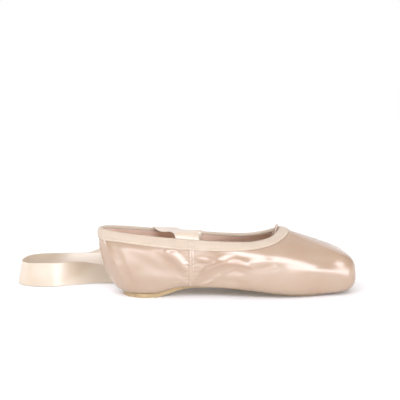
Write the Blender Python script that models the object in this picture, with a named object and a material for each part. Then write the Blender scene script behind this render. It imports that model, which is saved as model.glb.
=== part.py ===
"""A satin pointe shoe that stands on its sole, with its two ribbons laid down. Metres, +Z up, +X to the toe.

The upper's outer skin is one function, plain_skin(along, up). Every other piece takes its place from it.
"""

import math
from collections import namedtuple

import bmesh
import bpy
import numpy as np

# Driving dimensions of the shoe
LENGTH = 0.236
BALL_WIDTH = 0.074
HEEL_HEIGHT = 0.061
THROAT_HEIGHT = 0.060
ARCH_RISE = 0.0072
# Thicknesses and clearances
QUARTER_WALL = 0.0018
BOX_WALL = 0.0030
HEEL_SOLE = 0.0042
FORE_SOLE = 0.0016
SOLE_BEVEL = 0.0006
INSOLE = 0.0020
CLEARANCE = 0.0003
# The margin of the upper that is turned in over the sole, and the insole's room inside the wall
MARGIN = 0.0070
INSOLE_ROOM = 0.0020
# Raised seams: how far they stand out, and how wide they are
SEAM_RISE = 0.0004
SEAM_WIDTH = 0.0050
# The casing folded over the rim
CASING_DROP = 0.0078
CASING_TURN = 0.0066
CASING_LEAF = 0.0008
CASING_PUFF = 0.0004
# The drawstring's knot at the throat, and the two ends tucked in below it
KNOT = 0.0042
STRING = 0.0016
STRING_END = 0.014
STRING_SPREAD = 0.008
STRING_LEAN = 0.0035
STRING_CURVE = 1.6
KNOT_ANGLE = 75
KNOT_LENGTH = 0.25
# The ribbons
RIBBON_WIDTH = 0.022
RIBBON_THICK = 0.0006

# Places along the shoe, as shares of LENGTH from the back of the heel
ORIGIN = 0.16
HEEL_BREAK = 0.222
ARCH_TOP = 0.37
TREAD_START = 0.80
SIDE_SEAM = 0.353
THROAT = 0.714
BOX_START = 0.72
BOX_FULL = 0.86
SOLE_THINS = (0.25, 0.40)
# How gently the arch leaves the heel and meets the tread: 1 is a plain quarter wave or an even blend
ARCH_REAR = 1.2
ARCH_FRONT = 1.3

# One row for each half section, from the middle of the heel to the middle of the toe.
# x is a share of LENGTH, y of BALL_WIDTH and z of the height of the rim there.
# sole is the outsole's edge, foot the line where the satin turns under, wide the widest line, rim the collar.
# low says how far the wall has reached from foot towards wide by the time that it leaves the sole.
# square says how boxy the section is above its widest line: 0 on the soft sides, 1 at the platform.
Section = namedtuple(
    "Section", "sole_x sole_y foot_x foot_y low wide_x wide_y wide_z rim_x rim_y rim_z square"
)
SECTIONS = [
    Section(0.093, 0.000, 0.085, 0.000, 0.50, 0.002, 0.000, 0.65, 0.003, 0.000, 1.000, 0.0),
    Section(0.104, 0.131, 0.093, 0.155, 0.50, 0.020, 0.182, 0.59, 0.026, 0.155, 0.993, 0.0),
    Section(0.134, 0.228, 0.119, 0.250, 0.60, 0.068, 0.304, 0.49, 0.074, 0.227, 0.978, 0.0),
    Section(0.176, 0.264, 0.165, 0.288, 0.75, 0.140, 0.351, 0.43, 0.140, 0.273, 0.950, 0.0),
    Section(0.225, 0.256, 0.222, 0.292, 0.85, 0.214, 0.358, 0.39, 0.214, 0.298, 0.918, 0.0),
    Section(0.262, 0.233, 0.262, 0.287, 0.85, 0.262, 0.354, 0.38, 0.262, 0.307, 0.900, 0.0),
    Section(0.310, 0.204, 0.310, 0.280, 0.85, 0.310, 0.351, 0.38, 0.310, 0.311, 0.884, 0.0),
    Section(0.390, 0.176, 0.390, 0.278, 0.85, 0.390, 0.355, 0.37, 0.390, 0.311, 0.858, 0.0),
    Section(0.475, 0.192, 0.475, 0.314, 0.85, 0.475, 0.395, 0.36, 0.475, 0.309, 0.838, 0.0),
    Section(0.555, 0.240, 0.555, 0.362, 0.85, 0.555, 0.446, 0.35, 0.547, 0.303, 0.828, 0.0),
    Section(0.627, 0.284, 0.631, 0.400, 0.88, 0.636, 0.489, 0.35, 0.610, 0.286, 0.840, 0.1),
    Section(0.674, 0.305, 0.686, 0.414, 0.90, 0.695, 0.503, 0.36, 0.657, 0.249, 0.877, 0.2),
    Section(0.720, 0.316, 0.742, 0.404, 0.90, 0.754, 0.490, 0.36, 0.680, 0.203, 0.913, 0.3),
    Section(0.767, 0.311, 0.797, 0.378, 0.90, 0.814, 0.453, 0.35, 0.695, 0.155, 0.945, 0.5),
    Section(0.814, 0.289, 0.847, 0.346, 0.92, 0.873, 0.405, 0.34, 0.704, 0.112, 0.970, 0.7),
    Section(0.854, 0.250, 0.894, 0.304, 0.95, 0.928, 0.361, 0.34, 0.709, 0.077, 0.984, 0.9),
    Section(0.886, 0.189, 0.928, 0.243, 1.00, 0.978, 0.318, 0.35, 0.712, 0.050, 0.993, 1.0),
    Section(0.909, 0.105, 0.951, 0.142, 1.00, 1.001, 0.205, 0.36, 0.714, 0.026, 0.998, 1.0),
    Section(0.917, 0.000, 0.958, 0.000, 1.00, 1.003, 0.000, 0.36, 0.7145, 0.000, 1.000, 1.0),
]
# How the wall climbs between those lines: the share of the way in plan, and of the way up,
# for a soft section and for a square one.
LOW_UP = (0.22, 0.16)
SHOULDER = ((0.10, 0.55), (0.01, 0.38))
CROWN = ((0.50, 0.84), (0.46, 0.66))
# How closely each of the eight levels follows the rise and fall of the sole between two sections.
FOLLOWS_SOLE = np.array([1, 1, 1, 0.6, 0, 0, 0, 0])
# The seams stand out from here up the wall, and lie flat in the margin under the sole.
SEAM_FADE = (0.20, 0.35)
# How near to a seam, in seam widths, no other column of facets lies
SEAM_ROOM = 0.8
# The least height of the inner skin over the margin's underside, as a share of the wall
MARGIN_LEVEL = 0.98

# Ribbon routes, laid by hand: a share of LENGTH, BALL_WIDTH and HEEL_HEIGHT for the ribbon's middle,
# and the direction of its width. On the floor the height is that of its lower edge.
# Each ribbon crosses the far rim between its rise and its fall.
Lay = namedtuple("Lay", "x y z wide_x wide_y wide_z")
NEAR_ARC = (110, 70, 30, -10)
FAR_ARC = (165, 120, 75, 35, 5)
RIBBON_CLEARANCE = 0.0005
NEAR_CROSSING = 0.262
FAR_CROSSING = 0.362
NEAR_RISE = [
    Lay(0.342, -0.302, 0.38, 1.0, 0.0, 0.0),
    Lay(0.342, -0.296, 0.55, 1.0, 0.0, 0.0),
    Lay(0.342, -0.270, 0.73, 1.0, 0.0, 0.0),
    Lay(0.341, -0.246, 0.86, 1.0, 0.0, 0.0),
    Lay(0.339, -0.215, 0.935, 1.0, 0.1, 0.0),
    Lay(0.328, -0.130, 0.965, 0.95, 0.2, 0.0),
    Lay(0.300, 0.020, 0.935, 0.95, 0.3, 0.0),
    Lay(0.273, 0.160, 0.925, 0.97, 0.2, 0.0),
]
NEAR_FALL = [
    Lay(0.254, 0.385, 0.72, 1.0, 0.0, 0.1),
    Lay(0.240, 0.405, 0.48, 1.0, 0.0, 0.2),
    Lay(0.218, 0.440, 0.26, 0.95, 0.1, 0.3),
    Lay(0.185, 0.500, 0.10, 0.85, 0.3, 0.3),
    Lay(0.130, 0.580, 0.02, 0.5, 0.8, 0.3),
    Lay(0.060, 0.650, 0.00, 0.2, 0.9, 0.4),
    Lay(-0.020, 0.630, 0.00, 0.0, 0.7, 0.7),
    Lay(-0.110, 0.510, 0.00, 0.1, 0.4, 0.9),
    Lay(-0.200, 0.410, 0.00, 0.0, 0.2, 1.0),
    Lay(-0.295, 0.460, 0.00, 0.1, 0.0, 1.0),
    Lay(-0.325, 0.700, 0.00, 0.2, 0.1, 1.0),
    Lay(-0.270, 0.980, 0.00, 0.1, 0.3, 0.9),
    Lay(-0.150, 1.150, 0.00, 0.0, 0.5, 0.8),
    Lay(0.000, 1.190, 0.00, 0.0, 0.5, 0.8),
    Lay(0.115, 1.290, 0.00, 0.0, 0.2, 1.0),
    Lay(0.135, 1.480, 0.00, 0.0, 0.1, 1.0),
    Lay(0.060, 1.620, 0.00, 0.0, 0.4, 0.9),
    Lay(-0.060, 1.660, 0.00, 0.0, 0.9, 0.4),
    Lay(-0.190, 1.640, 0.00, 0.0, 1.0, 0.0),
]
FAR_RISE = [
    Lay(0.362, 0.302, 0.38, 1.0, 0.0, 0.0),
    Lay(0.362, 0.296, 0.55, 1.0, 0.0, 0.0),
    Lay(0.362, 0.262, 0.71, 1.0, 0.0, 0.0),
]
FAR_FALL = [
    Lay(0.363, 0.392, 0.68, 1.0, 0.0, 0.0),
    Lay(0.366, 0.405, 0.42, 1.0, 0.0, 0.0),
    Lay(0.376, 0.470, 0.15, 1.0, 0.0, 0.0),
    Lay(0.405, 0.610, 0.00, 0.9, -0.4, 0.2),
    Lay(0.460, 0.730, 0.00, 0.6, -0.6, 0.5),
    Lay(0.550, 0.820, 0.00, 0.2, -0.6, 0.8),
    Lay(0.660, 0.810, 0.00, 0.0, -0.3, 1.0),
    Lay(0.770, 0.730, 0.00, 0.0, -0.2, 1.0),
    Lay(0.870, 0.720, 0.00, 0.0, -0.2, 1.0),
    Lay(0.935, 0.880, 0.00, 0.1, -0.1, 1.0),
    Lay(0.895, 1.080, 0.00, 0.1, -0.4, 0.9),
    Lay(0.790, 1.170, 0.00, 0.0, -0.7, 0.7),
    Lay(0.660, 1.140, 0.00, 0.0, -0.7, 0.7),
    Lay(0.550, 1.080, 0.00, 0.0, -0.5, 0.8),
    Lay(0.440, 1.080, 0.00, 0.0, -0.3, 0.9),
    Lay(0.365, 1.200, 0.00, 0.0, -0.1, 1.0),
    Lay(0.375, 1.390, 0.00, 0.0, -0.1, 1.0),
    Lay(0.470, 1.500, 0.00, 0.0, -0.5, 0.8),
    Lay(0.590, 1.530, 0.00, 0.0, -0.9, 0.4),
    Lay(0.710, 1.580, 0.01, 0.0, -1.0, 0.0),
    Lay(0.830, 1.640, 0.00, 0.0, -1.0, 0.0),
]

# How finely the faceted solids follow the curves
STEPS_PER_SECTION = 2
CASING_LEVELS = 3
WALL_LEVELS = 10
RIBBON_STEP = 0.008
STRING_STATIONS = 21
STRING_SIDES = 8

# Finishes: colour, roughness
FINISHES = {
    "satin": ((0.72, 0.52, 0.42), 0.32),
    "casing": ((0.74, 0.58, 0.46), 0.70),
    "sole_leather": ((0.42, 0.31, 0.18), 0.65),
    "insole_board": ((0.52, 0.38, 0.24), 0.80),
    "ribbon_satin": ((0.78, 0.64, 0.52), 0.35),
    "string": ((0.76, 0.62, 0.52), 0.75),
}


def smooth(low, high, value):
    share = np.clip((value - low) / (high - low), 0, 1)
    return share * share * (3 - 2 * share)


def sole_bottom(x):
    """The outsole's lower face: flat under heel and forefoot, with the arch between."""
    up = np.clip((x - HEEL_BREAK) / (ARCH_TOP - HEEL_BREAK), 0, 1)
    down = np.clip((x - ARCH_TOP) / (TREAD_START - ARCH_TOP), 0, 1)
    climb = np.sin(up * math.pi / 2) ** ARCH_REAR
    return ARCH_RISE * np.where(x < ARCH_TOP, climb, 1 - smooth(0, 1, down**ARCH_FRONT))


def sole_top(x):
    """The outsole's upper face: the leather thins from the heel to the waist."""
    return sole_bottom(x) + HEEL_SOLE + (FORE_SOLE - HEEL_SOLE) * smooth(*SOLE_THINS, x)


def wall_at(x):
    """The upper's wall: cloth in the quarters, stiffened cloth in the box."""
    return QUARTER_WALL + (BOX_WALL - QUARTER_WALL) * smooth(BOX_START, BOX_FULL, x)


def to_world(x_share):
    return (x_share - ORIGIN) * LENGTH


def to_share(x):
    return x / LENGTH + ORIGIN


class ClosedSpline:
    """A smooth closed curve through points, even in its second derivative."""

    def __init__(self, points, knots):
        self.points, self.knots = points, knots
        gaps = np.diff(knots)
        count = len(gaps)
        matrix = np.zeros((count, count))
        slopes = (np.roll(points, -1, axis=0) - points) / gaps.reshape(-1, *[1] * (points.ndim - 1))
        for i in range(count):
            matrix[i, i - 1] += gaps[i - 1]
            matrix[i, i] += 2 * (gaps[i - 1] + gaps[i])
            matrix[i, (i + 1) % count] += gaps[i]
        right = 6 * (slopes - np.roll(slopes, 1, axis=0))
        bends = np.linalg.solve(matrix, right.reshape(count, -1)).reshape(points.shape)
        self.bends, self.gaps = bends, gaps

    def at(self, where):
        """The curve at knot values where, which wrap round."""
        where = np.mod(where, self.knots[-1])
        i = np.clip(np.searchsorted(self.knots, where, side="right") - 1, 0, len(self.gaps) - 1)
        j = (i + 1) % len(self.gaps)
        shape = (-1,) + (1,) * (self.points.ndim - 1)
        gap, a = self.gaps[i].reshape(shape), (where - self.knots[i]).reshape(shape)
        b = gap - a
        bent = self.bends[i] * b**3 + self.bends[j] * a**3
        flat_i = (self.points[i] / gap - self.bends[i] * gap / 6) * b
        flat_j = (self.points[j] / gap - self.bends[j] * gap / 6) * a
        return bent / (6 * gap) + flat_i + flat_j


def bspline_weights(up, count, degree=3):
    """The weights of count control points at each value of up, from 0 to 1, with held ends."""
    inner = np.linspace(0, 1, count - degree + 1)
    knots = np.concatenate([[0] * degree, inner, [1] * degree])
    up = np.clip(np.atleast_1d(up), 0, 1 - 1e-9)[:, None]
    weights = ((knots[:-1] <= up) & (up < knots[1:])).astype(float)
    for d in range(1, degree + 1):
        lower, upper = knots[: -d - 1], knots[d + 1 :]
        rise = share_of(up - lower, knots[d:-1] - lower)
        fall = share_of(upper - up, upper - knots[1:-d])
        weights = rise * weights[:, :-1] + fall * weights[:, 1:]
    return weights


def share_of(part, whole):
    """part / whole, and 0 where the whole is 0."""
    return np.divide(part, whole, where=whole > 0, out=np.zeros_like(part))


def inward(outline):
    """Unit vectors that point into a closed plan outline that runs heel, far side, toe, near side."""
    run = np.roll(outline, -1, axis=0) - np.roll(outline, 1, axis=0)
    across = np.stack([run[:, 1], -run[:, 0]], axis=1)
    return across / np.linalg.norm(across, axis=1, keepdims=True)


def around(column_x, column_y):
    """A closed plan line through two of the table's columns: the far side out, the near side back."""
    half = np.array([[to_world(getattr(s, column_x)), getattr(s, column_y) * BALL_WIDTH] for s in SECTIONS])
    return np.concatenate([half, half[-2:0:-1] * [1, -1]])


def mirrored(values):
    return np.concatenate([values, values[-2:0:-1]])


def control_net():
    """Eight control points up each section, on both sides of the shoe. Where the skin follows the sole,
    they hold the height over the sole's upper face.
    """
    sole, foot, wide, rim = (around(n + "_x", n + "_y") for n in ("sole", "foot", "wide", "rim"))
    low = mirrored(np.array([s.low for s in SECTIONS]))[:, None]
    square = mirrored(np.array([s.square for s in SECTIONS]))
    low_up = LOW_UP[0] + (LOW_UP[1] - LOW_UP[0]) * square
    (shoulder_in, shoulder_up), (crown_in, crown_up) = (
        [soft + (boxy - soft) * square for soft, boxy in zip(*pair)] for pair in (SHOULDER, CROWN)
    )
    margin = sole + inward(sole) * MARGIN
    along = mirrored(np.array([s.rim_x for s in SECTIONS])) / THROAT
    crown = HEEL_HEIGHT + (THROAT_HEIGHT - HEEL_HEIGHT) * np.clip(along, 0, 1)
    wide_z = mirrored(np.array([s.wide_z for s in SECTIONS])) * crown
    rim_z = mirrored(np.array([s.rim_z for s in SECTIONS])) * crown
    margin_z, sole_z, foot_z = (rest_height(line[:, 0]) for line in (margin, sole, foot))
    levels = [
        (margin, margin_z),
        (sole, sole_z),
        (foot, foot_z),
        (foot + (wide - foot) * low, foot_z + low_up * (wide_z - foot_z)),
        (wide, wide_z),
        (wide + shoulder_in[:, None] * (rim - wide), wide_z + shoulder_up * (rim_z - wide_z)),
        (wide + crown_in[:, None] * (rim - wide), wide_z + crown_up * (rim_z - wide_z)),
        (rim, rim_z),
    ]
    net = np.stack([np.column_stack([plan, z]) for plan, z in levels], axis=1)
    net[..., 2] -= FOLLOWS_SOLE * rest_height(net[..., 0])
    return net


def rest_height(x):
    """The height at which the turned-in margin lies on the sole."""
    return sole_top(to_share(x)) + CLEARANCE


def knots_of(net):
    """Knot values by the mean distance between neighbouring sections."""
    step = np.linalg.norm(np.roll(net, -1, axis=0) - net, axis=2).mean(axis=1)
    return np.concatenate([[0], np.cumsum(step)])


NET = control_net()
KNOTS = knots_of(NET)
ROUND = ClosedSpline(NET, KNOTS)


def plain_skin(along, up):
    """Points of the outer skin for one up value, or one for each along value."""
    weights = bspline_weights(np.broadcast_to(up, np.shape(along)), NET.shape[1])
    points = np.einsum("nk,nkc->nc", weights, ROUND.at(along))
    points[:, 2] += weights @ FOLLOWS_SOLE * rest_height(points[:, 0])
    return points


def skin_frame(along, up):
    """Points of the outer skin, their outward normals, and the direction up the wall."""
    nudge_along, nudge_up = KNOTS[-1] * 1e-4, 1e-3
    up = np.broadcast_to(up, np.shape(along))
    low, high = np.clip(up - nudge_up, 0, 1), np.clip(up + nudge_up, 0, 1)
    climb = plain_skin(along, high) - plain_skin(along, low)
    run = plain_skin(along + nudge_along, up) - plain_skin(along - nudge_along, up)
    normal = np.cross(climb, run)
    return plain_skin(along, up), unit(normal), unit(climb)


def unit(vectors):
    return vectors / np.linalg.norm(vectors, axis=-1, keepdims=True)


def seam_places():
    """Where the back seam and the two side seams lie along the skin."""
    along = np.linspace(0, KNOTS[-1] / 2, 400)
    x = plain_skin(along, 0.5)[:, 0]
    side = np.interp(to_world(SIDE_SEAM), x, along)
    return [0.0, side, KNOTS[-1] - side]


SEAMS = seam_places()


def column_places():
    """Where the columns of facets lie: evenly between the sections, and three on each seam."""
    between = np.arange(STEPS_PER_SECTION) / STEPS_PER_SECTION
    even = (KNOTS[:-1, None] + np.diff(KNOTS)[:, None] * between).ravel()
    for seam in SEAMS:
        apart = np.abs((even - seam + KNOTS[-1] / 2) % KNOTS[-1] - KNOTS[-1] / 2)
        even = even[apart > SEAM_WIDTH * SEAM_ROOM]
    ridges = [seam + k * SEAM_WIDTH / 2 for seam in SEAMS for k in (-1, 0, 1)]
    return np.sort(np.mod(np.concatenate([even, ridges]), KNOTS[-1]))


def seam_rise(along, up):
    """How far the skin stands out over its plain form, at its seams."""
    apart = np.abs((along[:, None] - np.array(SEAMS) + KNOTS[-1] / 2) % KNOTS[-1] - KNOTS[-1] / 2)
    ridge = np.clip(1 - 2 * apart.min(axis=1) / SEAM_WIDTH, 0, 1)
    return SEAM_RISE * ridge[:, None] * smooth(*SEAM_FADE, up)


def level_values(along):
    """The up values of each column's levels, from the margin to the rim.

    The upper levels are spaced by distance below the rim, so that the casing's facets lie on the wall's.
    """
    fine = np.linspace(0, 1, 201)
    levels = []
    for place in along:
        line = plain_skin(np.full(len(fine), place), fine)
        length = np.concatenate([[0], np.cumsum(np.linalg.norm(np.diff(line, axis=0), axis=1))])
        below = np.linspace(CASING_DROP, 0, CASING_LEVELS + 1)
        casing = np.interp(length[-1] - below, length, fine)
        wall = np.linspace(0, casing[0], WALL_LEVELS + 1)[:-1]
        levels.append(np.concatenate([wall, casing]))
    return np.array(levels)


COLUMNS = column_places()
LEVELS = level_values(COLUMNS)


def skin_rows():
    """Points of the outer skin with its seams, of the plain outer skin and of the inner skin, and the
    outward normals, each as columns by levels.
    """
    frames = [skin_frame(COLUMNS, LEVELS[:, k]) for k in range(LEVELS.shape[1])]
    outer, normal = (np.stack([f[k] for f in frames], axis=1) for k in range(2))
    wall = wall_at(to_share(outer[..., 0]))[..., None]
    inner = outer - normal * wall
    inner[..., 2] = np.maximum(inner[..., 2], outer[:, :1, 2] + wall[:, :1, 0] * MARGIN_LEVEL)
    raised = outer + normal * seam_rise(COLUMNS, LEVELS)[..., None]
    return raised, outer, inner, normal


def closed_loft(rings, round_trip):
    """A mesh from closed rings of points. It meets its own start, or ends in two flat caps."""
    mesh = bmesh.new()
    rows = [[mesh.verts.new(p) for p in ring] for ring in rings]
    pairs = list(zip(rows, rows[1:] + rows[:1])) if round_trip else list(zip(rows, rows[1:]))
    for a, b in pairs:
        for i in range(len(a)):
            j = (i + 1) % len(a)
            mesh.faces.new((a[i], a[j], b[j], b[i]))
    if not round_trip:
        mesh.faces.new(rows[0][::-1])
        mesh.faces.new(rows[-1])
    return mesh


def add_piece(name, mesh, finish, collection):
    """Close the mesh, face it outwards and put it in the collection with its own material."""
    bmesh.ops.remove_doubles(mesh, verts=mesh.verts, dist=1e-6)
    bmesh.ops.dissolve_degenerate(mesh, edges=mesh.edges, dist=1e-6)
    bmesh.ops.recalc_face_normals(mesh, faces=mesh.faces)
    data = bpy.data.meshes.new(name)
    mesh.to_mesh(data)
    mesh.free()
    data.shade_smooth()
    data.set_sharp_from_angle(angle=math.radians(50))
    colour, roughness = FINISHES[finish]
    material = bpy.data.materials.new(f"{name}_{finish}")
    material.use_nodes = True
    shader = material.node_tree.nodes["Principled BSDF"]
    shader.inputs["Base Color"].default_value = (*colour, 1)
    shader.inputs["Roughness"].default_value = roughness
    shader.inputs["Metallic"].default_value = 0.0
    data.materials.append(material)
    piece = bpy.data.objects.new(name, data)
    collection.objects.link(piece)
    return piece


def make_upper(skin, collection):
    """The hollow shell: each column is a closed section, up the outside and down the inside."""
    raised, _, inner, _ = skin
    rings = np.concatenate([raised, inner[:, ::-1]], axis=1)
    add_piece("upper", closed_loft(rings, True), "satin", collection)


def over_rim(along, radius, degrees):
    """Points round the rim, radius clear of the wall: 0 degrees is outside the shoe, 90 above, 180 inside."""
    rim, normal, climb = skin_frame(along, 1.0)
    half_wall = wall_at(to_share(rim[:, :1])) / 2
    angle = math.radians(degrees)
    way = normal * math.cos(angle) + climb * math.sin(angle)
    return rim - normal * half_wall + (half_wall + radius) * way


def make_binding(skin, collection):
    """The casing: a strip folded over the rim, clear of the wall on both sides."""
    _, outer, inner, normal = skin
    rise = seam_rise(COLUMNS, 1.0)
    start = -CASING_LEVELS - 1
    fine = np.linspace(0, 1, CASING_LEVELS + 1)
    turn = CASING_TURN / CASING_DROP
    outside, inside = [], []
    for k, share in enumerate(fine):
        puff = CASING_PUFF * math.sin(math.pi * share)
        place, across = outer[:, start + k], normal[:, start + k]
        outside.append(place + across * (rise + CLEARANCE + CASING_LEAF + puff))
        inside.append(place + across * (rise + CLEARANCE))
    outside += [over_rim(COLUMNS, CLEARANCE + CASING_LEAF, angle) for angle in (45, 90, 135)]
    inside += [over_rim(COLUMNS, CLEARANCE, 90)]
    for share in (1, 1 - turn / 2, 1 - turn):
        k = share * CASING_LEVELS + start
        low, part = int(math.floor(k)), k - math.floor(k)
        if low == -1:
            low, part = -2, 1.0
        place = inner[:, low] * (1 - part) + inner[:, low + 1] * part if low < -1 else inner[:, -1]
        across = unit(normal[:, low] * (1 - part) + normal[:, low + 1] * part)
        outside.append(place - across * (CLEARANCE + CASING_LEAF))
        inside.append(place - across * CLEARANCE)
    rings = np.stack(outside + inside[::-1], axis=1)
    add_piece("binding", closed_loft(rings, True), "casing", collection)


def bar_rings(stations, low_z, high_z, bevel):
    """Sections of a plate that is as wide as its outline: a bar from edge to edge at each station."""
    rings = []
    for x, half in stations:
        share = to_share(x)
        low, high = low_z(share), high_z(share)
        cut = min(bevel, half)
        rings.append(
            [
                (x, -half + cut, low),
                (x, -half, low + bevel),
                (x, -half, high),
                (x, half, high),
                (x, half, low + bevel),
                (x, half - cut, low),
            ]
        )
    return rings


def plate(name, stations, low_z, high_z, bevel, finish, collection):
    """A plate from its outline's stations. Its two ends are narrow bars."""
    mesh = closed_loft(bar_rings(stations, low_z, high_z, bevel), False)
    add_piece(name, mesh, finish, collection)


def edge_places():
    """Places on the far side for a plate's stations: the upper's own columns, and more round the two ends.

    Where the sole bends, a plate's facets lie on the upper's, so that the gap between them stays even.
    """
    far = COLUMNS[(COLUMNS > 0) & (COLUMNS < KNOTS[-1] / 2)]
    places = [0.0]
    for place in np.append(far, KNOTS[-1] / 2):
        x = to_share(ROUND.at(np.array([place]))[0, 0, 0])
        steps = 1 if HEEL_BREAK < x < TREAD_START else 3
        places += list(np.linspace(places[-1], place, steps + 1)[1:])
    return np.array(places)


def stations_of(edge):
    """Rows of x and half width from plan points that run from the heel's middle to the toe's."""
    x, half = edge[:, 0], edge[:, 1]
    kept = [(x[0], 0.0)]
    for station in zip(x[1:-1], half[1:-1]):
        if station[0] > kept[-1][0] + 1e-4 and station[0] < x[-1] - 1e-4:
            kept.append(station)
    return kept[1:]


def make_outsole(collection):
    stations = stations_of(ClosedSpline(around("sole_x", "sole_y"), KNOTS).at(edge_places()))
    plate("outsole", stations, sole_bottom, sole_top, SOLE_BEVEL, "sole_leather", collection)


def insole_low(x):
    return sole_top(x) + CLEARANCE + wall_at(x) + CLEARANCE


def insole_high(x):
    return insole_low(x) + INSOLE


def inner_edge(skin):
    """The inner skin's plan line where the wall starts to rise from the insole, less the insole's room."""
    inner, edge = skin[2], []
    for column in inner:
        height = column[:, 2] - insole_low(to_share(column[:, 0]))
        k = int(np.argmax(height > 0))
        part = height[k] / (height[k] - height[k - 1])
        edge.append(column[k, :2] * (1 - part) + column[k - 1, :2] * part)
    edge = np.array(edge)
    edge += inward(edge) * INSOLE_ROOM
    return edge


def make_insole(skin, collection):
    edge = inner_edge(skin)
    half = np.concatenate([edge[COLUMNS == 0], edge[(COLUMNS > 0) & (COLUMNS <= KNOTS[-1] / 2)]])
    half[[0, -1], 1] = 0
    stations = stations_of(half)
    plate("insole", stations, insole_low, insole_high, SOLE_BEVEL, "insole_board", collection)


def open_spline(points, step):
    """A smooth open curve through points, read at each of them and about every step between."""
    length = np.concatenate([[0], np.cumsum(np.linalg.norm(np.diff(points[:, :3], axis=0), axis=1))])
    ends = [2 * points[:1] - points[1:2], 2 * points[-1:] - points[-2:-1]]
    a, b, c, d = (np.concatenate([ends[0], points, ends[1]])[k : k + len(points) - 1] for k in range(4))
    fine = []
    for i, gap in enumerate(np.diff(length)):
        steps = max(1, int(round(gap / step)))
        for t in np.arange(steps) / steps:
            curve = 2 * b[i] + (c[i] - a[i]) * t + (2 * a[i] - 5 * b[i] + 4 * c[i] - d[i]) * t**2
            fine.append((curve + (3 * b[i] - a[i] - 3 * c[i] + d[i]) * t**3) / 2)
    return np.array(fine + [points[-1]])


def laid_points(rows):
    """Places in metres and width directions, from rows of a route."""
    points = []
    for row in rows:
        place = (to_world(row.x), row.y * BALL_WIDTH, row.z * HEEL_HEIGHT)
        points.append((*place, *unit(np.array([row.wide_x, row.wide_y, row.wide_z]))))
    return points


def rim_points(x_share, arc):
    """A ribbon's way over the far rim at x_share, from inside to outside, with its width along the rim."""
    half_turn = np.linspace(0, KNOTS[-1] / 2, 400)
    rim_x = plain_skin(half_turn, 1.0)[:, 0]
    place = np.interp(to_world(x_share), rim_x, half_turn)
    clear = CLEARANCE + CASING_LEAF + CASING_PUFF + RIBBON_CLEARANCE
    half_ribbon = np.array([place - RIBBON_WIDTH / 2, place + RIBBON_WIDTH / 2])
    width = unit(np.diff(plain_skin(half_ribbon, 1.0), axis=0)[0])
    return [(*over_rim(np.array([place]), clear, degrees)[0], *width) for degrees in arc]


def ribbon_line(points):
    """The ribbon's middle line, the direction of its width and that of its face."""
    fine = open_spline(np.array(points), RIBBON_STEP)
    middle = fine[:, :3].copy()
    run = unit(np.gradient(middle, axis=0))
    width = unit(fine[:, 3:] - run * (fine[:, 3:] * run).sum(axis=1, keepdims=True))
    middle[:, 2] = np.maximum(middle[:, 2], 0) + np.abs(width[:, 2]) * RIBBON_WIDTH / 2 + RIBBON_THICK
    return middle, width, unit(np.cross(run, width))


def near_points():
    """Up inside the near wall, back across the collar, over the far rim and down to the floor."""
    return laid_points(NEAR_RISE) + rim_points(NEAR_CROSSING, NEAR_ARC) + laid_points(NEAR_FALL)


def far_points():
    """Up inside the far wall, over its rim and down behind the shoe."""
    return laid_points(FAR_RISE) + rim_points(FAR_CROSSING, FAR_ARC) + laid_points(FAR_FALL)


def make_ribbon(name, points, collection):
    middle, width, face = ribbon_line(points)
    side, thick = width * RIBBON_WIDTH / 2, face * RIBBON_THICK / 2
    corners = [middle + i * side + j * thick for i, j in ((-1, -1), (1, -1), (1, 1), (-1, 1))]
    add_piece(name, closed_loft(np.stack(corners, axis=1), False), "ribbon_satin", collection)


def make_drawstring(collection):
    """A small knot on the casing at the tip of the throat, with two short ends tucked inside.

    One thin tube from end to end, which swells to the knot in its middle.
    """
    tip = np.array([KNOTS[-1] / 2])
    knot = over_rim(tip, CASING_LEAF + 2 * CLEARANCE + KNOT / 2, KNOT_ANGLE)[0]
    share = np.linspace(-1, 1, STRING_STATIONS)
    away = np.abs(share)
    fall = np.stack([-STRING_LEAN * away, STRING_SPREAD * share, -STRING_END * away**STRING_CURVE], axis=1)
    middle = knot + fall
    radius = STRING / 2 + (KNOT - STRING) / 2 * np.exp(-((share / KNOT_LENGTH) ** 2))
    run = unit(np.gradient(middle, axis=0))
    side = unit(np.cross(run, [1.0, 0.0, 0.0]))
    rise = np.cross(side, run)
    angles = np.arange(STRING_SIDES) * 2 * math.pi / STRING_SIDES
    rings = []
    for k in range(STRING_STATIONS):
        ways = [side[k] * math.cos(angle) + rise[k] * math.sin(angle) for angle in angles]
        rings.append([middle[k] + radius[k] * way for way in ways])
    add_piece("drawstring", closed_loft(rings, False), "string", collection)


def main():
    for thing in list(bpy.data.objects):
        bpy.data.objects.remove(thing, do_unlink=True)
    shoe = bpy.data.collections.new("pointe_shoe")
    bpy.context.scene.collection.children.link(shoe)
    skin = skin_rows()
    make_upper(skin, shoe)
    make_binding(skin, shoe)
    make_outsole(shoe)
    make_insole(skin, shoe)
    make_drawstring(shoe)
    make_ribbon("ribbon_near", near_points(), shoe)
    make_ribbon("ribbon_far", far_points(), shoe)


main()
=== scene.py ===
"""The looks of a satin pointe shoe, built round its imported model. Metres, +Z up, +X to the toe.

The shoe's outer skin is one function, plain_skin(along, up): along runs from the heel round the far side
to the toe and back along the near side, and up climbs from the margin under the sole to the rim.
"""

import math
from collections import namedtuple

import bmesh
import bpy
import numpy as np
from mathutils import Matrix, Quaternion, Vector


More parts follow.
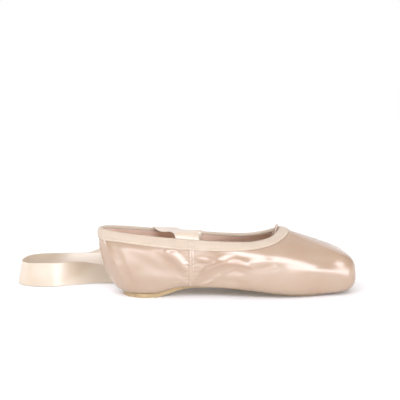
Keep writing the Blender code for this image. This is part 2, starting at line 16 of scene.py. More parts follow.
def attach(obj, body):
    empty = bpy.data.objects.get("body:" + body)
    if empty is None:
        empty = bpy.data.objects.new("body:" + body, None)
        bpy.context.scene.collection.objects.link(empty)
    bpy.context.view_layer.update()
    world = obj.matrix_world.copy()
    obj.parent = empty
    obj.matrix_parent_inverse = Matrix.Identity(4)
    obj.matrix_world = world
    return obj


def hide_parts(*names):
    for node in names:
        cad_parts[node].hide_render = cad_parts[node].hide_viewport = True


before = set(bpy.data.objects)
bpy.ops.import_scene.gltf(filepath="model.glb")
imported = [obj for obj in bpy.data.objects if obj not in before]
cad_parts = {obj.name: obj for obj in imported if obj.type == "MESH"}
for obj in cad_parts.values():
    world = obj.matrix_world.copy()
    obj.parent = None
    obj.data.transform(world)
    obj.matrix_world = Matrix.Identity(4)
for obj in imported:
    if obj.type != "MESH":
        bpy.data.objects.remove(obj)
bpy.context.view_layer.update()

# The shoe's sizes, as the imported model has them
LENGTH = 0.236
BALL_WIDTH = 0.074
HEEL_HEIGHT = 0.061
THROAT_HEIGHT = 0.060
ARCH_RISE = 0.0072
QUARTER_WALL = 0.0018
BOX_WALL = 0.0030
HEEL_SOLE = 0.0042
FORE_SOLE = 0.0016
CLEARANCE = 0.0003
MARGIN = 0.0070
SEAM_RISE = 0.0004
SEAM_WIDTH = 0.0050
CASING_DROP = 0.0078
CASING_TURN = 0.0066
CASING_LEAF = 0.0008
CASING_PUFF = 0.0005
KNOT = 0.0042
STRING = 0.0016
STRING_END = 0.014
STRING_SPREAD = 0.008
STRING_LEAN = 0.0035
STRING_CURVE = 1.6
KNOT_ANGLE = 75
KNOT_LOOPS = (0.00042, 0.00052, 0.00042)
RIBBON_WIDTH = 0.022
RIBBON_LAID_THICK = 0.0006
RIBBON_CLOTH = 0.00035
RIBBON_CLEARANCE = 0.0005
SOLE_BEVEL = 0.0006
# Places along the shoe, as shares of LENGTH from the back of the heel
ORIGIN = 0.16
HEEL_BREAK = 0.222
ARCH_TOP = 0.37
TREAD_START = 0.80
SIDE_SEAM = 0.353
THROAT = 0.714
BOX_START = 0.72
BOX_FULL = 0.86
SOLE_THINS = (0.25, 0.40)
ARCH_REAR = 1.2
ARCH_FRONT = 1.3
SEAM_FADE = (0.20, 0.35)
MARGIN_LEVEL = 0.98
# Where the casing is stitched, as shares of CASING_DROP outside and CASING_TURN inside
CASING_STITCH = 0.84
LEAF_STITCH = 0.86
# Where a seam's ridge falls off, as shares of SEAM_WIDTH
SEAM_SIDE = (0.30, 0.50)

# One row for each half section, from the middle of the heel to the middle of the toe.
# x is a share of LENGTH, y of BALL_WIDTH and z of the height of the rim there.
Section = namedtuple(
    "Section", "sole_x sole_y foot_x foot_y low wide_x wide_y wide_z rim_x rim_y rim_z square"
)
SECTIONS = [
    Section(0.093, 0.000, 0.085, 0.000, 0.50, 0.002, 0.000, 0.65, 0.003, 0.000, 1.000, 0.0),
    Section(0.104, 0.131, 0.093, 0.155, 0.50, 0.020, 0.182, 0.59, 0.026, 0.155, 0.993, 0.0),
    Section(0.134, 0.228, 0.119, 0.250, 0.60, 0.068, 0.304, 0.49, 0.074, 0.227, 0.978, 0.0),
    Section(0.176, 0.264, 0.165, 0.288, 0.75, 0.140, 0.351, 0.43, 0.140, 0.273, 0.950, 0.0),
    Section(0.225, 0.256, 0.222, 0.292, 0.85, 0.214, 0.358, 0.39, 0.214, 0.298, 0.918, 0.0),
    Section(0.262, 0.233, 0.262, 0.287, 0.85, 0.262, 0.354, 0.38, 0.262, 0.307, 0.900, 0.0),
    Section(0.310, 0.204, 0.310, 0.280, 0.85, 0.310, 0.351, 0.38, 0.310, 0.311, 0.884, 0.0),
    Section(0.390, 0.176, 0.390, 0.278, 0.85, 0.390, 0.355, 0.37, 0.390, 0.311, 0.858, 0.0),
    Section(0.475, 0.192, 0.475, 0.314, 0.85, 0.475, 0.395, 0.36, 0.475, 0.309, 0.838, 0.0),
    Section(0.555, 0.240, 0.555, 0.362, 0.85, 0.555, 0.446, 0.35, 0.547, 0.303, 0.828, 0.0),
    Section(0.627, 0.284, 0.631, 0.400, 0.88, 0.636, 0.489, 0.35, 0.610, 0.286, 0.840, 0.1),
    Section(0.674, 0.305, 0.686, 0.414, 0.90, 0.695, 0.503, 0.36, 0.657, 0.249, 0.877, 0.2),
    Section(0.720, 0.316, 0.742, 0.404, 0.90, 0.754, 0.490, 0.36, 0.680, 0.203, 0.913, 0.3),
    Section(0.767, 0.311, 0.797, 0.378, 0.90, 0.814, 0.453, 0.35, 0.695, 0.155, 0.945, 0.5),
    Section(0.814, 0.289, 0.847, 0.346, 0.92, 0.873, 0.405, 0.34, 0.704, 0.112, 0.970, 0.7),
    Section(0.854, 0.250, 0.894, 0.304, 0.95, 0.928, 0.361, 0.34, 0.709, 0.077, 0.984, 0.9),
    Section(0.886, 0.189, 0.928, 0.243, 1.00, 0.978, 0.318, 0.35, 0.712, 0.050, 0.993, 1.0),
    Section(0.909, 0.105, 0.951, 0.142, 1.00, 1.001, 0.205, 0.36, 0.714, 0.026, 0.998, 1.0),
    Section(0.917, 0.000, 0.958, 0.000, 1.00, 1.003, 0.000, 0.36, 0.7145, 0.000, 1.000, 1.0),
]
LOW_UP = (0.22, 0.16)
SHOULDER = ((0.10, 0.55), (0.01, 0.38))
CROWN = ((0.50, 0.84), (0.46, 0.66))
FOLLOWS_SOLE = np.array([1, 1, 1, 0.6, 0, 0, 0, 0])

# The creases of the satin, laid one by one as soft ridges and troughs. side is -1 on the near side and 1
# on the far one. Both ends are a share of LENGTH and of HEEL_HEIGHT, bow bends the crease by a share of
# its own length, and width and rise are in millimetres.
Crease = namedtuple("Crease", "side x0 z0 x1 z1 bow width rise")
CREASES = [
    Crease(-1, 0.366, 0.63, 0.510, 0.64, -0.12, 2.6, 1.15),
    Crease(-1, 0.372, 0.53, 0.470, 0.57, 0.00, 2.4, -0.55),
    Crease(-1, 0.372, 0.33, 0.580, 0.50, 0.15, 2.3, 1.30),
    Crease(-1, 0.385, 0.24, 0.560, 0.40, 0.14, 3.4, -0.70),
    Crease(-1, 0.550, 0.50, 0.670, 0.58, 0.03, 2.8, 0.75),
    Crease(-1, 0.600, 0.44, 0.680, 0.50, 0.05, 3.0, -0.35),
    Crease(-1, 0.465, 0.35, 0.520, 0.48, 0.00, 1.2, 0.40),
    Crease(-1, 0.375, 0.19, 0.445, 0.30, -0.05, 1.4, 0.60),
    Crease(-1, 0.370, 0.15, 0.560, 0.16, 0.03, 1.8, 0.60),
    Crease(-1, 0.400, 0.25, 0.560, 0.25, 0.05, 2.6, -0.35),
    Crease(-1, 0.255, 0.72, 0.335, 0.42, 0.08, 4.4, 1.70),
    Crease(-1, 0.215, 0.70, 0.325, 0.30, 0.05, 4.2, -0.60),
    Crease(-1, 0.290, 0.36, 0.342, 0.20, 0.04, 2.2, 0.45),
    Crease(-1, 0.024, 0.85, 0.090, 0.27, 0.03, 2.0, 1.10),
    Crease(-1, 0.055, 0.80, 0.120, 0.27, 0.04, 2.6, -0.60),
    Crease(-1, 0.075, 0.60, 0.135, 0.30, 0.05, 4.5, 0.55),
    Crease(-1, 0.130, 0.36, 0.300, 0.22, 0.05, 5.0, 0.55),
    Crease(-1, 0.100, 0.74, 0.300, 0.40, -0.05, 5.0, -0.45),
    Crease(-1, 0.780, 0.46, 1.020, 0.20, 0.03, 7.5, 1.20),
    Crease(1, 0.780, 0.46, 1.020, 0.20, 0.03, 7.5, 1.20),
    Crease(1, 0.37, 0.72, 0.50, 0.66, -0.08, 2.4, 0.80),
    Crease(1, 0.37, 0.60, 0.52, 0.52, 0.08, 2.8, -0.60),
    Crease(1, 0.37, 0.44, 0.49, 0.60, 0.06, 2.2, 0.90),
    Crease(1, 0.39, 0.30, 0.54, 0.40, -0.05, 2.8, -0.55),
    Crease(1, 0.37, 0.20, 0.52, 0.19, 0.04, 2.0, 0.55),
    Crease(1, 0.24, 0.70, 0.33, 0.40, -0.06, 3.6, 0.75),
    Crease(1, 0.20, 0.60, 0.32, 0.28, 0.05, 4.0, -0.50),
    Crease(1, 0.04, 0.68, 0.12, 0.22, 0.05, 2.0, 0.60),
    Crease(1, 0.09, 0.58, 0.24, 0.36, 0.05, 5.0, -0.45),
]
# Where the creases die away: below the casing, and above the sole, as shares of the way up the wall.
CREASE_ROOM = (0.24, 0.32, 0.84, 0.90)
# Puckers beside a seam: their pitch up the seam, how far they reach from it and how deep they are
PUCKER_PITCH = 0.0036
PUCKER_REACH = 0.0050
PUCKER_DEPTH = 0.00045
PUCKER_WANDER = 4.0
# A side seam's sewn groove, and the lines along both edges of the back tape
SEAM_GROOVE = 0.0003
GROOVE_WIDTH = 0.0006
TAPE_EDGE = 0.36
TAPE_EDGE_WIDTH = 0.0005
# Pleats under the toe and round the heel: pitch and depth, and from where to where along the shoe
PLEAT_PITCH = 0.0052
PLEAT_DEPTH = 0.0008
PLEAT_START = (0.78, 0.86)
HEEL_PLEAT_DEPTH = 0.0003
HEEL_PLEAT_END = (0.12, 0.20)
# Uneven swells of the soft satin and of the stiff box, and the casing's gathers
SOFT_SWELL = 0.00030
BOX_SWELL = 0.00007
BOX_STIFF = (0.62, 0.74)
GATHER_PITCH = 0.0052
GATHER_RISE = 0.00009
WAVES = 9
# A stitch's rings: how far along it they lie, how thick they are and how far out of the cloth
STITCH_RINGS = ((0, 0.3, -0.7), (0.12, 0.9, -0.1), (0.5, 1.0, 0.35), (0.88, 0.9, -0.1), (1, 0.3, -0.7))
STITCH_SIDES = 6
# Pitch, length and half thickness of the stitches
CASING_STITCHES = (0.0024, 0.0018, 0.00017)
SEAM_STITCHES = (0.0020, 0.0015, 0.00014)
# The back tape's stitches as a share of SEAM_WIDTH, and from where to where up a seam its stitches run
BACK_STITCH = 0.30
SEAM_STITCHED = (0.30, 0.885)

# Ribbon routes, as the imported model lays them
Lay = namedtuple("Lay", "x y z wide_x wide_y wide_z")
NEAR_ARC = (110, 70, 30, -10)
FAR_ARC = (165, 120, 75, 35, 5)
NEAR_CROSSING = 0.262
FAR_CROSSING = 0.362
RIM_PUFF = 0.0004
NEAR_RISE = [
    Lay(0.342, -0.302, 0.38, 1.0, 0.0, 0.0),
    Lay(0.342, -0.296, 0.55, 1.0, 0.0, 0.0),
    Lay(0.342, -0.270, 0.73, 1.0, 0.0, 0.0),
    Lay(0.341, -0.246, 0.86, 1.0, 0.0, 0.0),
    Lay(0.339, -0.215, 0.935, 1.0, 0.1, 0.0),
    Lay(0.328, -0.130, 0.965, 0.95, 0.2, 0.0),
    Lay(0.300, 0.020, 0.935, 0.95, 0.3, 0.0),
    Lay(0.273, 0.160, 0.925, 0.97, 0.2, 0.0),
]
NEAR_FALL = [
    Lay(0.254, 0.385, 0.72, 1.0, 0.0, 0.1),
    Lay(0.240, 0.405, 0.48, 1.0, 0.0, 0.2),
    Lay(0.218, 0.440, 0.26, 0.95, 0.1, 0.3),
    Lay(0.185, 0.500, 0.10, 0.85, 0.3, 0.3),
    Lay(0.130, 0.580, 0.02, 0.5, 0.8, 0.3),
    Lay(0.060, 0.650, 0.00, 0.2, 0.9, 0.4),
    Lay(-0.020, 0.630, 0.00, 0.0, 0.7, 0.7),
    Lay(-0.110, 0.510, 0.00, 0.1, 0.4, 0.9),
    Lay(-0.200, 0.410, 0.00, 0.0, 0.2, 1.0),
    Lay(-0.295, 0.460, 0.00, 0.1, 0.0, 1.0),
    Lay(-0.325, 0.700, 0.00, 0.2, 0.1, 1.0),
    Lay(-0.270, 0.980, 0.00, 0.1, 0.3, 0.9),
    Lay(-0.150, 1.150, 0.00, 0.0, 0.5, 0.8),
    Lay(0.000, 1.190, 0.00, 0.0, 0.5, 0.8),
    Lay(0.115, 1.290, 0.00, 0.0, 0.2, 1.0),
    Lay(0.135, 1.480, 0.00, 0.0, 0.1, 1.0),
    Lay(0.060, 1.620, 0.00, 0.0, 0.4, 0.9),
    Lay(-0.060, 1.660, 0.00, 0.0, 0.9, 0.4),
    Lay(-0.190, 1.640, 0.00, 0.0, 1.0, 0.0),
]
FAR_RISE = [
    Lay(0.362, 0.302, 0.38, 1.0, 0.0, 0.0),
    Lay(0.362, 0.296, 0.55, 1.0, 0.0, 0.0),
    Lay(0.362, 0.262, 0.71, 1.0, 0.0, 0.0),
]
FAR_FALL = [
    Lay(0.363, 0.392, 0.68, 1.0, 0.0, 0.0),
    Lay(0.366, 0.405, 0.42, 1.0, 0.0, 0.0),
    Lay(0.376, 0.470, 0.15, 1.0, 0.0, 0.0),
    Lay(0.405, 0.610, 0.00, 0.9, -0.4, 0.2),
    Lay(0.460, 0.730, 0.00, 0.6, -0.6, 0.5),
    Lay(0.550, 0.820, 0.00, 0.2, -0.6, 0.8),
    Lay(0.660, 0.810, 0.00, 0.0, -0.3, 1.0),
    Lay(0.770, 0.730, 0.00, 0.0, -0.2, 1.0),
    Lay(0.870, 0.720, 0.00, 0.0, -0.2, 1.0),
    Lay(0.935, 0.880, 0.00, 0.1, -0.1, 1.0),
    Lay(0.895, 1.080, 0.00, 0.1, -0.4, 0.9),
    Lay(0.790, 1.170, 0.00, 0.0, -0.7, 0.7),
    Lay(0.660, 1.140, 0.00, 0.0, -0.7, 0.7),
    Lay(0.550, 1.080, 0.00, 0.0, -0.5, 0.8),
    Lay(0.440, 1.080, 0.00, 0.0, -0.3, 0.9),
    Lay(0.365, 1.200, 0.00, 0.0, -0.1, 1.0),
    Lay(0.375, 1.390, 0.00, 0.0, -0.1, 1.0),
    Lay(0.470, 1.500, 0.00, 0.0, -0.5, 0.8),
    Lay(0.590, 1.530, 0.00, 0.0, -0.9, 0.4),
    Lay(0.710, 1.580, 0.01, 0.0, -1.0, 0.0),
    Lay(0.830, 1.640, 0.00, 0.0, -1.0, 0.0),
]

# A ribbon's cup across its width and its ripples: how high they are and over what length they turn
CUP, CUP_TURN = 0.0009, 0.043
RIPPLE, RIPPLE_TURN, RIPPLE_PATCH = 0.0005, 0.0075, 0.031

# How fine the meshes are
COLUMN_STEP = 0.00095
SEAM_COLUMN_STEP = 0.00045
WALL_ROWS = 104
LINING_ROWS = 22
RIBBON_STEP = 0.0016
RIBBON_ACROSS = 10
SOLE_COLUMNS = 360
STITCH_COLUMNS = 720

# The camera: degrees round and up, and the place that it looks at
VIEW_AZIMUTH = 4.0
VIEW_ELEVATION = 9.5
VIEW_DISTANCE = 1.05
VIEW_HALF_WIDTH = 0.184
VIEW_TARGET = (0.0555, 0.0, 0.0868)

# The light: the studio wall and ceiling by height of view, the ceiling's lamp, the floor, which glows
# with distance, and the softboxes: azimuth, elevation, roll, which lowers the toe end, distance, size
# and radiance.
SKY_WALL = (0.03, (1.0, 1.0, 1.0, 1))
SKY_CEILING = (0.26, (0.38, 0.35, 0.32, 1))
CEILING_LIGHT = 0.75
LIGHT_AIM = (0.06, 0.0, 0.03)
CEILING_SPREAD = 100
LAMP_COLOR = (0.95, 0.98, 1.08)
FLOOR_HALF = 1.6
FLOOR_COLOR = (0.93, 0.93, 0.93, 1)
FLOOR_GLOW = ((0.40, 0.06), (1.0, 1.0))
SOFTBOXES = (
    ("key", 2, 39, 20, 1.1, (1.9, 0.40), 5.0),
    ("toe_side", -38, 4, 18, 1.2, (1.0, 0.25), 4.6),
    ("front_low", 10, 4, 0, 1.2, (0.9, 0.14), 3.3),
    ("heel_side", 98, 20, 0, 1.2, (0.45, 0.7), 4.5),
    ("back_panel", 188, 30, 0, 1.3, (1.6, 0.9), 0.9),
)


def smooth(low, high, value):
    """0 below low, 1 above high and a soft step between."""
    share = np.clip((value - low) / (high - low), 0, 1)
    return share * share * (3 - 2 * share)


def unit(vectors):
    return vectors / np.maximum(np.linalg.norm(vectors, axis=-1, keepdims=True), 1e-12)


def running_length(points):
    """The distance along each line of points, at each of its points."""
    step = np.linalg.norm(np.diff(points, axis=-2), axis=-1)
    return np.concatenate([np.zeros_like(step[..., :1]), np.cumsum(step, axis=-1)], axis=-1)


def sole_bottom(x):
    """The outsole's lower face: flat under heel and forefoot, with the arch between."""
    up = np.clip((x - HEEL_BREAK) / (ARCH_TOP - HEEL_BREAK), 0, 1)
    down = np.clip((x - ARCH_TOP) / (TREAD_START - ARCH_TOP), 0, 1)
    climb = np.sin(up * math.pi / 2) ** ARCH_REAR
    return ARCH_RISE * np.where(x < ARCH_TOP, climb, 1 - smooth(0, 1, down**ARCH_FRONT))


def sole_top(x):
    """The outsole's upper face: the leather thins from the heel to the waist."""
    return sole_bottom(x) + HEEL_SOLE + (FORE_SOLE - HEEL_SOLE) * smooth(*SOLE_THINS, x)


def wall_at(x):
    """The upper's wall: cloth in the quarters, stiffened cloth in the box."""
    return QUARTER_WALL + (BOX_WALL - QUARTER_WALL) * smooth(BOX_START, BOX_FULL, x)


def to_world(x_share):
    return (x_share - ORIGIN) * LENGTH


def to_share(x):
    return x / LENGTH + ORIGIN


class ClosedSpline:
    """A smooth closed curve through points, even in its second derivative."""

    def __init__(self, points, knots):
        self.points, self.knots = points, knots
        gaps = np.diff(knots)
        count = len(gaps)
        matrix = np.zeros((count, count))
        slopes = (np.roll(points, -1, axis=0) - points) / gaps.reshape(-1, *[1] * (points.ndim - 1))
        for i in range(count):
            matrix[i, i - 1] += gaps[i - 1]
            matrix[i, i] += 2 * (gaps[i - 1] + gaps[i])
            matrix[i, (i + 1) % count] += gaps[i]
        right = 6 * (slopes - np.roll(slopes, 1, axis=0))
        self.bends = np.linalg.solve(matrix, right.reshape(count, -1)).reshape(points.shape)
        self.gaps = gaps

    def at(self, where):
        """The curve at knot values where, which wrap round."""
        where = np.mod(where, self.knots[-1])
        i = np.clip(np.searchsorted(self.knots, where, side="right") - 1, 0, len(self.gaps) - 1)
        j = (i + 1) % len(self.gaps)
        shape = (-1,) + (1,) * (self.points.ndim - 1)
        gap, a = self.gaps[i].reshape(shape), (where - self.knots[i]).reshape(shape)
        b = gap - a
        bent = self.bends[i] * b**3 + self.bends[j] * a**3
        flat_i = (self.points[i] / gap - self.bends[i] * gap / 6) * b
        flat_j = (self.points[j] / gap - self.bends[j] * gap / 6) * a
        return bent / (6 * gap) + flat_i + flat_j


def share_of(part, whole):
    """part / whole, and 0 where the whole is 0."""
    return np.divide(part, whole, where=whole > 0, out=np.zeros_like(part))


def bspline_weights(up, count, degree=3):
    """The weights of count control points at each value of up, from 0 to 1, with held ends."""
    inner = np.linspace(0, 1, count - degree + 1)
    knots = np.concatenate([[0] * degree, inner, [1] * degree])
    up = np.clip(np.atleast_1d(up), 0, 1 - 1e-9)[:, None]
    weights = ((knots[:-1] <= up) & (up < knots[1:])).astype(float)
    for d in range(1, degree + 1):
        lower, upper = knots[: -d - 1], knots[d + 1 :]
        rise = share_of(up - lower, knots[d:-1] - lower)
        fall = share_of(upper - up, upper - knots[1:-d])
        weights = rise * weights[:, :-1] + fall * weights[:, 1:]
    return weights


def inward(outline):
    """Unit vectors into a closed plan outline that runs heel, far side, toe, near side."""
    run = np.roll(outline, -1, axis=0) - np.roll(outline, 1, axis=0)
    return unit(np.stack([run[:, 1], -run[:, 0]], axis=1))


def column(name):
    """A column of the table of sections, from heel to toe."""
    return np.array([getattr(section, name) for section in SECTIONS])


def around(part):
    """A part's closed plan line: the far side out, the near side back."""
    half = np.column_stack([to_world(column(part + "_x")), column(part + "_y") * BALL_WIDTH])
    return np.concatenate([half, half[-2:0:-1] * [1, -1]])


def mirrored(name):
    """A column of the table for each point of such a line."""
    values = column(name)
    return np.concatenate([values, values[-2:0:-1]])


def rest_height(x):
    """The height at which the turned-in margin lies on the sole."""
    return sole_top(to_share(x)) + CLEARANCE


def control_net():
    """Eight control points up each section. Those that follow the sole hold the height over it."""
    sole, foot, wide, rim = (around(part) for part in ("sole", "foot", "wide", "rim"))
    low = mirrored("low")[:, None]
    square = mirrored("square")
    low_up = LOW_UP[0] + (LOW_UP[1] - LOW_UP[0]) * square
    (shoulder_in, shoulder_up), (crown_in, crown_up) = (
        [soft + (boxy - soft) * square for soft, boxy in zip(*pair)] for pair in (SHOULDER, CROWN)
    )
    margin = sole + inward(sole) * MARGIN
    to_throat = np.clip(mirrored("rim_x") / THROAT, 0, 1)
    crown = HEEL_HEIGHT + (THROAT_HEIGHT - HEEL_HEIGHT) * to_throat
    wide_z = mirrored("wide_z") * crown
    rim_z = mirrored("rim_z") * crown
    margin_z, sole_z, foot_z = (rest_height(line[:, 0]) for line in (margin, sole, foot))
    levels = [
        (margin, margin_z),
        (sole, sole_z),
        (foot, foot_z),
        (foot + (wide - foot) * low, foot_z + low_up * (wide_z - foot_z)),
        (wide, wide_z),
        (wide + shoulder_in[:, None] * (rim - wide), wide_z + shoulder_up * (rim_z - wide_z)),
        (wide + crown_in[:, None] * (rim - wide), wide_z + crown_up * (rim_z - wide_z)),
        (rim, rim_z),
    ]
    net = np.stack([np.column_stack([plan, z]) for plan, z in levels], axis=1)
    net[..., 2] -= FOLLOWS_SOLE * rest_height(net[..., 0])
    return net


NET = control_net()
NET_GAPS = np.linalg.norm(np.roll(NET, -1, axis=0) - NET, axis=2).mean(axis=1)
KNOTS = np.concatenate([[0], np.cumsum(NET_GAPS)])
ROUND = ClosedSpline(NET, KNOTS)
TURN = KNOTS[-1]


def plain_skin(along, up):
    """Points of the outer skin, one for each pair of along and up."""
    along, up = np.broadcast_arrays(np.asarray(along, float), np.asarray(up, float))
    weights = bspline_weights(up.ravel(), NET.shape[1])
    points = np.einsum("nk,nkc->nc", weights, ROUND.at(along.ravel()))
    points[:, 2] += weights @ FOLLOWS_SOLE * rest_height(points[:, 0])
    return points.reshape(*along.shape, 3)


def outward(along, up):
    """The skin's outward normals and the directions up the wall."""
    low, high = np.clip(up - 1e-3, 0, 1), np.clip(up + 1e-3, 0, 1)
    climb = plain_skin(along, high) - plain_skin(along, low)
    run = plain_skin(along + TURN * 1e-4, up) - plain_skin(along - TURN * 1e-4, up)
    return unit(np.cross(climb, run)), unit(climb)


def seam_places():
    """Where the back seam and the two side seams lie along the skin."""
    along = np.linspace(0, TURN / 2, 400)
    side = np.interp(to_world(SIDE_SEAM), plain_skin(along, 0.5)[:, 0], along)
    return np.array([0.0, side, TURN - side])


SEAMS = seam_places()


def from_seam(along):
    """Signed distance along the skin from the nearest seam, and which seam that is."""
    apart = (np.asarray(along)[..., None] - SEAMS + TURN / 2) % TURN - TURN / 2
    nearest = np.abs(apart).argmin(axis=-1)
    return np.take_along_axis(apart, nearest[..., None], axis=-1)[..., 0], nearest


def fine_columns():
    """Columns round the shoe, closer together beside the seams."""
    places, place = [], 0.0
    while place < TURN - SEAM_COLUMN_STEP / 2:
        places.append(place)
        near = 1 - smooth(0.008, 0.022, abs(float(from_seam(place)[0])))
        place += COLUMN_STEP + (SEAM_COLUMN_STEP - COLUMN_STEP) * near
    return np.array(places) * TURN / place


COLUMNS = fine_columns()


def even_rows(along, count):
    """count values of up for each column, evenly spaced by distance."""
    fine = np.linspace(0, 1, 201)
    length = running_length(plain_skin(along[:, None], fine[None, :]))
    share = np.linspace(0, 1, count)
    return np.array([np.interp(share * row[-1], row, fine) for row in length])


def grid_mesh(name, grid, closed_u=True, closed_v=False, uv=None):
    """A mesh from a grid of points, which may close on itself either way."""
    n, m = grid.shape[:2]
    rows = np.arange(n if closed_u else n - 1)
    cols = np.arange(m if closed_v else m - 1)
    i, j = np.meshgrid(rows, cols, indexing="ij")
    i2, j2 = (i + 1) % n, (j + 1) % m
    faces = np.stack([i * m + j, i2 * m + j, i2 * m + j2, i * m + j2], axis=-1).reshape(-1, 4)
    mesh = bpy.data.meshes.new(name)
    mesh.vertices.add(n * m)
    mesh.vertices.foreach_set("co", grid.reshape(-1, 3).astype(np.float32).ravel())
    mesh.loops.add(faces.size)
    mesh.loops.foreach_set("vertex_index", faces.ravel().astype(np.int32))
    mesh.polygons.add(len(faces))
    mesh.polygons.foreach_set("loop_start", np.arange(0, faces.size, 4, dtype=np.int32))
    mesh.polygons.foreach_set("loop_total", np.full(len(faces), 4, dtype=np.int32))
    if uv is not None:
        layer = mesh.uv_layers.new(name="cloth")
        layer.data.foreach_set("uv", uv.reshape(-1, 2)[faces.ravel()].astype(np.float32).ravel())
    mesh.update(calc_edges=True)
    mesh.validate()
    mesh.shade_smooth()
    return mesh


def new_object(name, data):
    """An object with these data, linked into the scene."""
    made = bpy.data.objects.new(name, data)
    bpy.context.scene.collection.objects.link(made)
    return made


def add_object(name, mesh, materials, replaces=()):
    """Put the mesh in the scene as a piece of the shoe: closed, with its faces outwards."""
    work = bmesh.new()
    work.from_mesh(mesh)
    bmesh.ops.holes_fill(work, edges=[edge for edge in work.edges if edge.is_boundary])
    bmesh.ops.recalc_face_normals(work, faces=work.faces)
    work.to_mesh(mesh)
    work.free()
    for each in materials:
        mesh.materials.append(each)
    piece = new_object(name, mesh)
    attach(piece, "root")
    if replaces:
        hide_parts(*replaces)
    return piece


def add_faces(mesh, rings):
    """Smooth faces through the vertices that each ring names, which may name one twice."""
    work = bmesh.new()
    work.from_mesh(mesh)
    work.verts.ensure_lookup_table()
    for ring in rings:
        face = work.faces.new([work.verts[vertex] for vertex in dict.fromkeys(ring)])
        face.smooth = True
    bmesh.ops.recalc_face_normals(work, faces=work.faces)
    work.to_mesh(mesh)
    work.free()


def crease_rise(points):
    """How far the creases lift the satin at each point, in metres."""
    side = np.sign(points[..., 1])
    rise = np.zeros(points.shape[:-1])
    x, z = points[..., 0], points[..., 2]
    for crease in CREASES:
        start = np.array([to_world(crease.x0), crease.z0 * HEEL_HEIGHT])
        end = np.array([to_world(crease.x1), crease.z1 * HEEL_HEIGHT])
        length = np.linalg.norm(end - start)
        way = (end - start) / length
        t = ((x - start[0]) * way[0] + (z - start[1]) * way[1]) / length
        off = (z - start[1]) * way[0] - (x - start[0]) * way[1]
        off = off - crease.bow * length * 4 * t * (1 - t)
        fade = smooth(-0.12, 0.25, t) * smooth(-0.12, 0.25, 1 - t)
        width = crease.width / 1000 * (0.55 + 0.45 * fade)
        lift = crease.rise / 1000 * fade * np.exp(-((off / width) ** 2))
        rise += np.where(side == crease.side, lift, 0)
    return rise


def slow_waves(points, seed, shortest, longest):
    """Gentle uneven swells, from -1 to 1: waves of chosen lengths in seeded directions."""
    draw = np.random.default_rng(seed)
    total = np.zeros(points.shape[:-1])
    for _ in range(WAVES):
        way = unit(draw.normal(size=3))
        length = draw.uniform(shortest, longest)
        total += np.sin(points @ way * 2 * math.pi / length + draw.uniform(0, 2 * math.pi))
    return total / WAVES


def seam_ridge(along):
    """How far a seam lifts the satin and what lies on it."""
    return SEAM_RISE * (1 - smooth(*SEAM_SIDE, np.abs(from_seam(along)[0]) / SEAM_WIDTH))


def seam_relief(along, up, points):
    """The seams' ridges with their sewn groove, and the puckers beside them."""
    apart, which = from_seam(along)
    far = np.abs(apart)
    tape = which == 0
    groove = np.exp(-((apart / GROOVE_WIDTH) ** 2))
    edge = np.exp(-(((far - SEAM_WIDTH * TAPE_EDGE) / TAPE_EDGE_WIDTH) ** 2))
    lift = seam_ridge(along) - np.where(tape, 0.5 * edge, groove) * SEAM_GROOVE
    wander = PUCKER_WANDER * slow_waves(points, 5, 0.006, 0.014)
    beat = np.sin(2 * math.pi * points[..., 2] / PUCKER_PITCH + wander + np.sign(apart))
    reach = np.exp(-far / PUCKER_REACH) * smooth(0.0006, 0.0018, far)
    uneven = 0.55 + 0.6 * slow_waves(points, 8, 0.010, 0.024)
    heelward = np.sign(apart) * np.where(which == 1, -1, 1) > 0
    strength = np.where(heelward & ~tape, 1.0, 0.5)
    pucker = PUCKER_DEPTH * beat * reach * uneven * strength
    return (lift + pucker) * smooth(*SEAM_FADE, up)


def pleat_relief(along, up, points):
    """Pleats where the satin is drawn in under the toe, and small gathers under the heel."""
    share = to_share(points[..., 0])
    toe = smooth(*PLEAT_START, share)
    heel = 1 - smooth(*HEEL_PLEAT_END, share)
    phase = along / PLEAT_PITCH + 0.35 * slow_waves(points, 3, 0.012, 0.03)
    saw = phase - np.floor(phase)
    fold = saw * (1 - smooth(0.82, 1.0, saw)) - 0.4
    gather = np.sin(2 * math.pi * along / PLEAT_PITCH * 1.6) * 0.5
    room = smooth(0.17, 0.24, up) * (1 - smooth(0.30, 0.46, up))
    return (PLEAT_DEPTH * fold * toe + HEEL_PLEAT_DEPTH * gather * heel) * room


def satin_relief(along, up, points):
    """All that lifts or sinks the satin from the plain skin, in metres."""
    share = to_share(points[..., 0])
    low_in, low_full, high_full, high_out = CREASE_ROOM
    room = smooth(low_in, low_full, up) * (1 - smooth(high_full, high_out, up))
    stiff = smooth(*BOX_STIFF, share)
    swell = SOFT_SWELL * slow_waves(points, 1, 0.016, 0.045) * (1 - stiff)
    swell += BOX_SWELL * slow_waves(points, 2, 0.012, 0.03) * stiff
    folds = room * (crease_rise(points) + swell)
    return folds + seam_relief(along, up, points) + pleat_relief(along, up, points)


def wall_grid(rows):
    """Rows evenly up every column: along, up, and the plain skin's points and normals."""
    up = even_rows(COLUMNS, rows)
    along = np.broadcast_to(COLUMNS[:, None], up.shape)
    return along, up, plain_skin(along, up), outward(along, up)[0]


def shell_grids():
    """The satin's outer grid and the lining's inner grid."""
    along, up, plain, normal = wall_grid(WALL_ROWS)
    outer = plain + normal * satin_relief(along, up, plain)[..., None]
    _, _, plain, normal = wall_grid(LINING_ROWS)
    wall = wall_at(to_share(plain[..., 0]))[..., None]
    inner = plain - normal * wall
    floor = plain[:, :1, 2] + wall[:, :1, 0] * MARGIN_LEVEL
    inner[..., 2] = np.maximum(inner[..., 2], floor)
    return outer, inner


